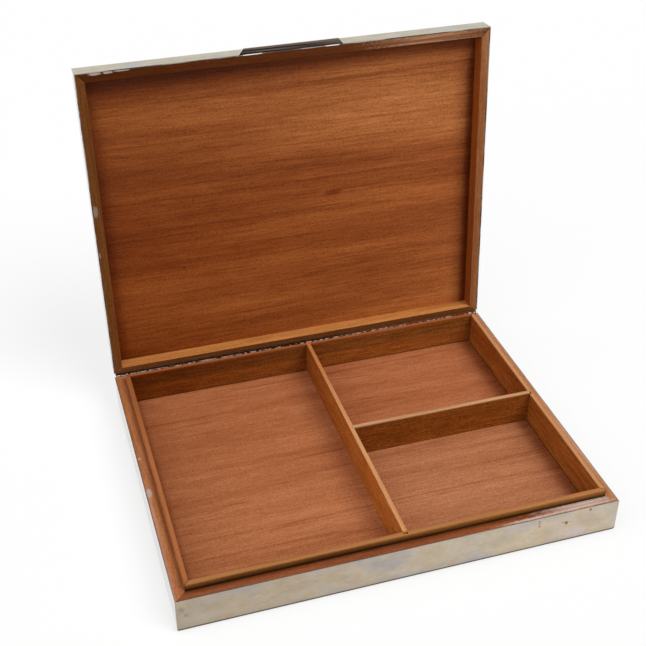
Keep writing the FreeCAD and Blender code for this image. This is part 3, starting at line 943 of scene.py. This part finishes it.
class Sheet:
    """Layers of noise that make up old silver sheet."""

    def __init__(self, shader):
        places = shader.place
        clouded = {"detail": 5.0, "roughness": 0.62, "distortion": 0.4}
        self.cloud = shader.noise(places, along=30.0, across=55.0, **clouded)
        self.blotch = shader.noise(places, along=60.0, across=90.0, detail=3.0)
        self.mottle = shader.noise(places, along=320.0, across=320.0, detail=4.0, roughness=0.70)
        self.rub = shader.noise(places, along=25.0, across=1800.0)
        self.wave = shader.noise(places, along=18.0, across=26.0, detail=1.0)


def silver_colour(shader, sheet, node):
    """Colour of old silver: clouds, tarnish and rubbing marks, brown stains and a left side made bright as painted
    light.
    """
    piece = SILVERS[node]
    colour = shader.colours(sheet.cloud, SILVER_TONES)
    tarnish = shader.ramp(sheet.blotch, *TARNISH_LIMITS, 0.0, piece.get("tarnish", SLIGHT_TARNISH))
    colour = shader.mix(tarnish, colour, TARNISH)
    colour = shade_by_place(shader, colour, piece)
    colour = shader.shade(colour, shader.ramp(sheet.mottle, *MOTTLE_LIMITS, *MOTTLE_FACTORS))
    colour = shader.shade(colour, shader.ramp(shader.z, FOOT_START, FOOT_END, FOOT_SHADE, 1.0))
    if "plain" in piece:
        plain = shader.ramp(shader.faces(OUTWARD["front"]), 0.0, 1.0, piece["plain"], 0.0)
        colour = shader.mix(plain, colour, PLAIN_SILVER)
    colour = shader.shade(colour, shader.ramp(sheet.rub, *RUB_LIMITS, *RUB_FACTORS))
    for stains in STAINS.get(node, ()):
        colour = shader.mix(shader.marked(stains, SOFTNESS["stain"]), colour, STAIN)
    # Left side made bright as painted light
    if "lit_left_side" in piece:
        lit_left_mask = shader.math("MULTIPLY", shader.faces(OUTWARD["left"]), piece["lit_left_side"])
        colour = shader.mix(lit_left_mask, colour, BRIGHT_SILVER)
    return colour


# Painted shade on the rolled lower edge, by its height above the ground, where it mirrors the shaded floor, and
# grime in patches on the sheet's bare edge
LOWER_EDGE_SHADE = 0.95
LOWER_EDGE_SHADE_FULL = 2.8 * MM
LOWER_EDGE_SHADE_END = 3.6 * MM
RIM_GRIME_LIMITS = (0.42, 0.58)
LEAST_RIM_GRIME = 0.3


def soil_rim(shader, colour, node, sheet):
    """Colour and grime of the sheet's bare edge, with painted highlights where they are listed."""
    piece = SILVERS[node]
    rim = shader.faces(piece["rim"])
    colour = shader.mix(rim, colour, EDGE)
    patchy = shader.ramp(sheet.cloud, *RIM_GRIME_LIMITS, piece["dirt"], LEAST_RIM_GRIME * piece["dirt"])
    grime = shader.math("MULTIPLY", rim, patchy)
    # Painted highlights on the bare edge, without grime under them
    if node in PAINTED_GLINTS:
        glints = shader.near_any(PAINTED_GLINTS[node], SOFTNESS["glint"])
        colour = shader.mix(glints, colour, BRIGHT_SILVER)
        grime = shader.math("MULTIPLY", grime, shader.math("SUBTRACT", 1.0, glints))
    return colour, grime


# Hinge: masks of its soiled side and of the fully soiled part, dashes of grime between bright ones that are rubbed
# metal and painted highlights on the knuckles, and old oil that is dry and brown on the right
SOILED_LIMITS = (0.2, 0.7)
BLACK_LIMITS = (0.35, 0.65)
DASH_LIMITS = (0.40, 0.54)
HINGE_DULLNESS = 0.5
DRY_OIL_START = 0.0 * MM
DRY_OIL_FULL = 70.0 * MM
HINGE_SPECULAR = 0.05
PLAIN_SPECULAR = 0.50


def soil_hinge(shader, colour, piece):
    """Colour, grime and dullness of a hinge strip, with bright dashes of rubbed metal and painted highlights."""
    side = shader.faces(piece["soiled"], *SOILED_LIMITS)
    dashes = shader.ramp(shader.noise(shader.place, along=300.0, across=500.0), *DASH_LIMITS)
    dirty = shader.any_of(dashes, shader.faces(piece["black"], *BLACK_LIMITS))
    grime = shader.math("MULTIPLY", side, dirty)
    dull = shader.math("MULTIPLY", side, HINGE_DULLNESS)
    # The soiled side is bright silver, as rubbed metal and painted highlights, under its dashes of grime
    return shader.mix(side, colour, BRIGHT_SILVER), grime, dull


# Thumb piece: streaks of black patina and a painted dark reflection, paler towards its front edge
DARK_FACE_EDGE = 0.16
DARK_FACE_EDGE_FULL = 4.0 * MM
DARK_FACE_EDGE_END = 2.0 * MM


def blacken(shader, colour, piece):
    """Streaky black patina and painted dark reflection on the face that looks one way."""
    streaks = shader.noise(shader.place, along=14.0, across=700.0)
    front = BOX_OUTLINE.front
    edge = shader.ramp(shader.y, front - DARK_FACE_EDGE_FULL, front - DARK_FACE_EDGE_END, DARK_FACE_EDGE, 0.0)
    # Black patina together with a painted dark reflection
    patina_and_reflection = shader.colours(shader.math("ADD", streaks, edge), PATINA_AND_REFLECTION_TONES)
    return shader.mix(shader.faces(piece["patina_and_reflection"]), colour, patina_and_reflection)


# Surface of the silver: gloss by blotches and rubbing marks, duller grime, and slight waves
LEAST_ROUGHNESS = 0.06
BLOTCH_ROUGHNESS = 0.25
RUB_ROUGHNESS = 0.10
GRIME_ROUGHNESS = 0.75
SILVER_RELIEF = 1.5 * MM
SILVER_RELIEF_STRENGTH = 0.15
WAVE_HEIGHT = 1.0
RUB_HEIGHT = 0.01


def silver(node):
    """Material of one silver piece."""
    piece = SILVERS[node]
    shader = Shader(node, node in LID_NODES)
    sheet = Sheet(shader)
    colour = silver_colour(shader, sheet, node)
    # Painted shade on the rolled lower edge, matt and dark like grime
    grime = shader.ramp(shader.z, LOWER_EDGE_SHADE_FULL, LOWER_EDGE_SHADE_END, LOWER_EDGE_SHADE, 0.0)
    grime_colour = GRIME
    dull = 0.0
    if "rim" in piece:
        colour, rim_grime = soil_rim(shader, colour, node, sheet)
        grime = shader.any_of(grime, rim_grime)
    if "soiled" in piece:
        colour, hinge_grime, dull = soil_hinge(shader, colour, piece)
        grime = shader.any_of(grime, hinge_grime)
        grime_colour = shader.mix(shader.ramp(shader.x, DRY_OIL_START, DRY_OIL_FULL), OLD_OIL, DRY_OIL)
    if "patina_and_reflection" in piece:
        colour = blacken(shader, colour, piece)

    smooth = shader.weigh((sheet.blotch, BLOTCH_ROUGHNESS), (sheet.rub, RUB_ROUGHNESS))
    smooth = shader.math("ADD", smooth, LEAST_ROUGHNESS)
    inputs = {
        "Base Color": shader.mix(grime, colour, grime_colour),
        "Metallic": shader.math("SUBTRACT", 1.0, shader.any_of(grime, dull)),
        "Roughness": shader.any_of(smooth, shader.math("MULTIPLY", grime, GRIME_ROUGHNESS)),
        "Specular IOR Level": HINGE_SPECULAR if "soiled" in piece else PLAIN_SPECULAR,
    }
    height = shader.weigh((sheet.wave, WAVE_HEIGHT), (sheet.rub, RUB_HEIGHT))
    return shader.finish_solid(inputs, height, SILVER_RELIEF_STRENGTH, SILVER_RELIEF)


def ease_edges(piece, width):
    """Round the sharp edges of a piece a little, as hand finishing does."""
    weld = piece.modifiers.new("joined_faces", "WELD")
    weld.merge_threshold = JOINED_POINTS
    bevel = piece.modifiers.new("eased_edges", "BEVEL")
    bevel.width = width
    bevel.segments = EASED_STEPS
    bevel.limit_method = "ANGLE"
    bevel.angle_limit = math.radians(EASED_ANGLE_DEG)
    piece.modifiers.new("smooth_shading", "WEIGHTED_NORMAL")


def dress(node, material, edge=0.0):
    """Give a piece its material, and ease its edges if a width is given."""
    piece = nodes[node]
    piece.data.materials.clear()
    piece.data.materials.append(material)
    if edge:
        ease_edges(piece, edge)


def dress_box():
    for node in PIECES:
        dress(node, wood(node), WOOD_EDGE)
    for node in SILVERS:
        dress(node, silver(node), SILVER_EDGE if node in EASED_SILVER else 0.0)


def make_floor():
    """Pale floor that takes a soft shadow; seen directly or in metal it is lifted to white."""
    bpy.ops.mesh.primitive_plane_add(size=FLOOR_SIZE)
    floor = bpy.context.object
    floor.name = "studio_floor"
    shader = Shader("studio_floor")
    paint = shader.node("BsdfDiffuse", {"Color": tint(FLOOR_COLOUR)})
    dimmed = shader.node("BsdfDiffuse", {"Color": tint(FLOOR_SHADE * FLOOR_COLOUR)})
    glow = shader.node("Emission", {"Strength": FLOOR_GLOW})
    white = shader.node("AddShader", {0: dimmed.outputs[0], 1: glow.outputs[0]})
    surface = shader.node("MixShader", {0: shader.seen(), 1: paint.outputs[0], 2: white.outputs[0]})
    floor.data.materials.append(shader.finish(surface))


def make_room():
    """Even white room: white walls and a greyer ceiling where it is seen, a plain level where it lights."""
    world = bpy.data.worlds.new("studio_room")
    bpy.context.scene.world = world
    world.use_nodes = True
    room = NodeTree(world.node_tree)
    view = room.node("TexCoord").outputs["Generated"]
    height = room.node("SeparateXYZ", {"Vector": view}).outputs["Z"]
    white = room.ramp(height, CEILING_START, 1.0, ROOM_WALLS, ROOM_CEILING)
    level = room.ramp(room.seen(), 0.0, 1.0, ROOM_LIGHT, white)
    background = room.tree.nodes["Background"].inputs
    room.feed(background["Color"], tint(1.0))
    room.feed(background["Strength"], level)


def make_lamp(name, direction, strength, spread_deg):
    """Broad distant lamp; it isn't mirrored as a hot spot in the metal, which shows the white room."""
    light = bpy.data.lights.new(name, "SUN")
    light.energy = strength
    light.angle = math.radians(spread_deg)
    lamp = bpy.data.objects.new(name, light)
    lamp.rotation_euler = (-Vector(direction)).to_track_quat("-Z", "Y").to_euler()
    lamp.visible_glossy = False
    bpy.context.scene.collection.objects.link(lamp)


def make_camera():
    lens = bpy.data.cameras.new("photo_camera")
    lens.sensor_width = CAMERA_SENSOR_MM
    lens.lens = CAMERA_LENS_MM
    camera = bpy.data.objects.new("photo_camera", lens)
    camera.location = CAMERA_PLACE
    camera.rotation_euler = [math.radians(angle) for angle in CAMERA_TURN_DEG]
    bpy.context.scene.collection.objects.link(camera)
    bpy.context.scene.camera = camera


dress_box()
make_floor()
make_room()
make_lamp("key_lamp", KEY_DIRECTION, KEY_STRENGTH, KEY_SPREAD_DEG)
make_lamp("fill_lamp", FILL_DIRECTION, FILL_STRENGTH, FILL_SPREAD_DEG)
make_camera()
bpy.context.scene.view_settings.view_transform = "Standard"
